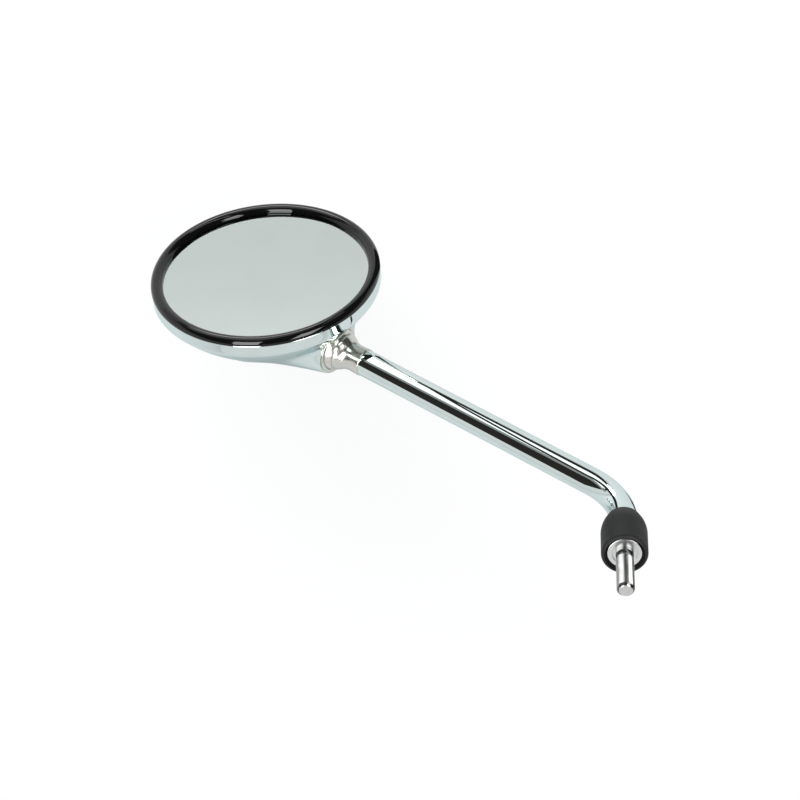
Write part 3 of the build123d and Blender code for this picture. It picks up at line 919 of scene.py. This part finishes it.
white, dark = (1.0, 1.0, 1.0), (1.0, 0.93, 0.84)
room = {
    "axis": unit(back + 0.2 * up + 0.1 * right), "spread": radians(78.5), "opening": 0.02,
    "radius": 1700, "level": 0.034, "rows": 40, "columns": 96,
}


def roomCap(s):
    # X(a, t) = middle + R (c cos a + sin a (p cos t + q sin t)), dark round the axis c behind the camera
    axis = s["axis"]
    p = unit(np.cross(up, axis))
    a = np.linspace(s["opening"], s["spread"], s["rows"])[:, None]
    t = np.arange(s["columns"]) * 2 * pi / s["columns"]
    ring = np.cos(t)[:, None] * p + np.sin(t)[:, None] * np.cross(axis, p)
    grid = middle + s["radius"] * (np.cos(a)[..., None] * axis + np.sin(a)[..., None] * ring)
    cap = newPiece("roomCap", grid)
    cap.data.materials.append(glowFinish("roomTone", dark, s["level"]))
    return cap


stemMiddle = np.array([0.0, 0.0, pose["corner"]]) + stemDir * 82  # half way up the straight run


def acrossStem(angle, distance):
    # on the cone of directions that the straight stem mirrors towards the camera
    along = stemDir * np.dot(-back, stemDir)
    flat = -back - along
    e1 = -unit(flat)
    e2 = np.cross(stemDir, e1)
    turned = e1 * cos(radians(angle)) + e2 * sin(radians(angle))
    return stemMiddle + (along + np.linalg.norm(flat) * turned) * distance


reflected(roomCap(room))
bezelTop = headPlace.out(np.array([-26.0, 45.1, 1.0]))
bezelLow = headPlace.out(np.array([35.0, -38.0, 2.0]))
footEnd = np.array([0.0, 0.0, -12.0])
stripLean = up * 0.5 - right * 0.08 - back * 0.64
panels = (  # name, place, aim, sideways, size, level, colour
    ("windowStem", acrossStem(39.5, 1000), stemMiddle, stemDir, (760, 590), 1.9, white),
    ("windowDusk", acrossStem(14, 1100), stemMiddle, stemDir, (1300, 290), 0.4, white),
    ("windowTop", offPoint(bezelTop, -110, 533.5, 93.5), bezelTop, right, (230, 130), 9.0, white),
    ("windowLowLeft", offPoint(bezelLow, -306, -378, 738), bezelLow, right, (380, 880), 9.0, white),
    ("windowLowRight", offPoint(bezelLow, 486, -126, 747), bezelLow, right, (320, 760), 9.0, white),
    ("windowStrip", toward(0.27, 0.75, 0.6, 1000), middle, stripLean, (900, 60), 7.0, white),
    ("tableFront", offPoint(footEnd, -28.8, -292.8, 126.08), footEnd, right, (320, 170), 0.9, white),
    ("wallRight", inView(2, 103, -31), inView(-100, 103, -31), back, (338, 74), 0.034, dark),
    ("tableGap", inView(193, -10, 176), inView(193, -10, 0), right, (40, 110), 0.05, dark),
)
for name, at, aim, sideways, size, level, color in panels:
    reflected(panel(name, at, aim, sideways, size, glowFinish(name + "Glow", color, level)))


def softbox(name, at, size, watts, color):
    lamp = bpy.data.lights.new(name, "AREA")
    lamp.shape = "RECTANGLE"
    lamp.size, lamp.size_y = size
    lamp.energy = watts
    lamp.color = color
    box = bpy.data.objects.new(name, lamp)
    box.matrix_world = facingMatrix(at, middle, right) @ Matrix.Rotation(pi, 4, "X")  # lamps shine along -z
    box.visible_camera = False
    box.visible_glossy = False
    bpy.context.scene.collection.objects.link(box)


keyAt, fillAt = toward(-0.45, 0.75, 0.6, 1300), toward(0.8, -0.4, 0.7, 1400)
softbox("keySoft", keyAt, size=(0.9, 0.7), watts=9.0, color=(1.0, 0.985, 0.96))
softbox("fillSoft", fillAt, size=(0.9, 0.9), watts=5.0, color=(0.96, 0.98, 1.0))

studio = {"ambient": (0.95, 0.97, 1.0), "level": 0.75}
world = bpy.data.worlds.new("studio")
bpy.context.scene.world = world
world.use_nodes = True
sky = world.node_tree
sky.nodes.clear()
ambient = sky.nodes.new("ShaderNodeBackground")
ambient.inputs["Color"].default_value = (*studio["ambient"], 1.0)
ambient.inputs["Strength"].default_value = studio["level"]
backdrop = sky.nodes.new("ShaderNodeBackground")
backdrop.inputs["Color"].default_value = (1.0, 1.0, 1.0, 1.0)
path = sky.nodes.new("ShaderNodeLightPath")
seen = math(sky, "MAXIMUM", path.outputs["Is Camera Ray"], path.outputs["Is Glossy Ray"])
seen = math(sky, "MAXIMUM", seen, path.outputs["Is Transmission Ray"])
share = sky.nodes.new("ShaderNodeMixShader")
sky.links.new(seen, share.inputs["Fac"])
sky.links.new(ambient.outputs[0], share.inputs[1])
sky.links.new(backdrop.outputs[0], share.inputs[2])
sky.links.new(share.outputs[0], sky.nodes.new("ShaderNodeOutputWorld").inputs["Surface"])
bpy.context.scene.view_settings.view_transform = "Standard"
print("stage ready")
